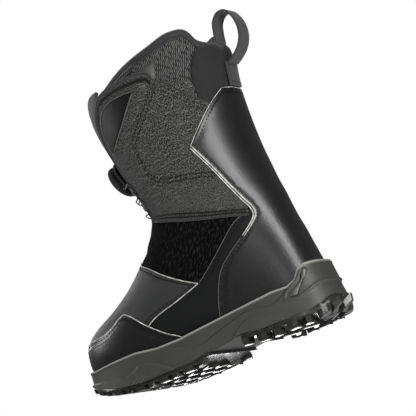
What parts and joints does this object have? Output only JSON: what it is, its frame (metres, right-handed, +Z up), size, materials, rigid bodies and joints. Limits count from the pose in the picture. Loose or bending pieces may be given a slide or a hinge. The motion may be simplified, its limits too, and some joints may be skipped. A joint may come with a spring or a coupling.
{
  "type": "snowboard boot",
  "caption": "Left snowboard boot with dial lacing, flexing cuff over a lower boot, padded inner liner, rear pull loop and lugged sole.",
  "frame": {"origin": "on the ground under the middle of the boot's overall length and width", "axes": "toe toward -Y, heel toward +Y, lateral side of a left boot toward +X, +Z up from the tread"},
  "size_m": [0.1358, 0.3072, 0.3393],
  "materials": {
    "canvas": "charcoal heathered woven canvas",
    "backstay_leather": "satin black synthetic leather",
    "vamp_leather": "matte dark grey coated leather",
    "toe_leather": "smooth satin black",
    "quarter_fabric": "fine dark textile",
    "gusset_mesh": "stretch mesh",
    "lining_foam": "foam-backed lining",
    "stiffener": "moulded sheet",
    "board": "fibre board",
    "midsole_foam": "moulded foam sidewall",
    "tread_rubber": "rubber tread",
    "badge": "textured plastic inset",
    "shank": "glass-filled nylon",
    "liner_knit": "knitted mesh over foam",
    "binding": "knit binding",
    "footbed_foam": "foam footbed",
    "collar_neoprene": "neoprene",
    "patch_film": "bonded film",
    "tongue_fabric": "padded tongue fabric",
    "webbing": "woven webbing",
    "black_plastic": "moulded plastic",
    "grip_rubber": "overmoulded grip",
    "spool_plastic": "acetal",
    "screw_steel": "steel screw",
    "lace_cord": "coated cord"
  },
  "bodies": {
    "lower_boot": {"midsole": "midsole_foam", "heel_badge_lateral": "badge", "heel_badge_medial": "badge", "shank_plate": "shank", "outsole_forefoot": "tread_rubber", "outsole_heel": "tread_rubber", "toe_cap": "toe_leather", "vamp": "vamp_leather", "quarter_lateral": "quarter_fabric", "quarter_medial": "quarter_fabric", "ankle_gusset_lateral": "gusset_mesh", "ankle_gusset_medial": "gusset_mesh", "instep_gusset": "gusset_mesh", "backstay": "backstay_leather", "lower_lining": "lining_foam", "toe_puff": "stiffener", "heel_counter": "stiffener", "lasting_board": "board", "liner": "liner_knit", "footbed": "footbed_foam"},
    "cuff": {"cuff_lining": "lining_foam", "cuff_wing_lateral": "canvas", "cuff_wing_medial": "canvas", "cuff_panel_lateral": "canvas", "cuff_panel_medial": "canvas", "wing_patch_lateral": "patch_film", "wing_patch_medial": "patch_film", "rear_collar": "collar_neoprene", "loop_tab_inner": "webbing", "loop_tab_outer": "webbing", "lace_guide_upper_lateral": "black_plastic", "lace_guide_upper_medial": "black_plastic", "lace_guide_middle_lateral": "black_plastic", "lace_guide_middle_medial": "black_plastic", "lace": "lace_cord", "liner_binding": "binding"},
    "tongue": {"shell_tongue": "tongue_fabric", "tongue_tab": "webbing", "dial_housing": "black_plastic", "dial_axle_screw": "screw_steel"},
    "liner_tongue": {"liner_tongue": "liner_knit"},
    "spool": {"dial_spool": "spool_plastic"},
    "knob": {"dial_ratchet": "spool_plastic", "dial_knob": "black_plastic", "dial_cap": "black_plastic", "dial_grip": "grip_rubber"},
    "pull_loop": {"pull_loop": "webbing"}
  },
  "joints": [
    {"name": "cuff_flex", "type": "hinge", "parent": "lower_boot", "child": "cuff", "pos_m": [0, 0.0692, 0.13], "axis": [1, 0, 0], "range_deg": [-2, 12], "stiffness_Nm_per_rad": 30, "deforming": ["backstay", "ankle_gusset_lateral", "ankle_gusset_medial", "instep_gusset", "liner"]},
    {"name": "tongue_fold", "type": "hinge", "parent": "cuff", "child": "tongue", "pos_m": [0, -0.0068, 0.16], "axis": [1, 0, 0], "range_deg": [0, 28], "stiffness_Nm_per_rad": 1, "deforming": ["lace"]},
    {"name": "liner_tongue_fold", "type": "hinge", "parent": "cuff", "child": "liner_tongue", "pos_m": [0, -0.0068, 0.16], "axis": [1, 0, 0], "range_deg": [0, 20]},
    {"name": "dial_turn", "type": "hinge", "parent": "tongue", "child": "spool", "pos_m": [0, -0.03858, 0.22754], "axis": [0, -0.9511, -0.3089], "continuous": true},
    {"name": "dial_release", "type": "slide", "parent": "spool", "child": "knob", "axis": [0, -0.9511, -0.3089], "range_m": [0, 0.0035]},
    {"name": "loop_swing", "type": "hinge", "parent": "cuff", "child": "pull_loop", "pos_m": [0, 0.1227, 0.285], "axis": [1, 0, 0], "range_deg": [-20, 0], "stiffness_Nm_per_rad": 0.02}
  ],
  "couplings": [
    {"joint": "liner_tongue_fold", "follows": "tongue_fold", "ratio": 0.7}
  ]
}
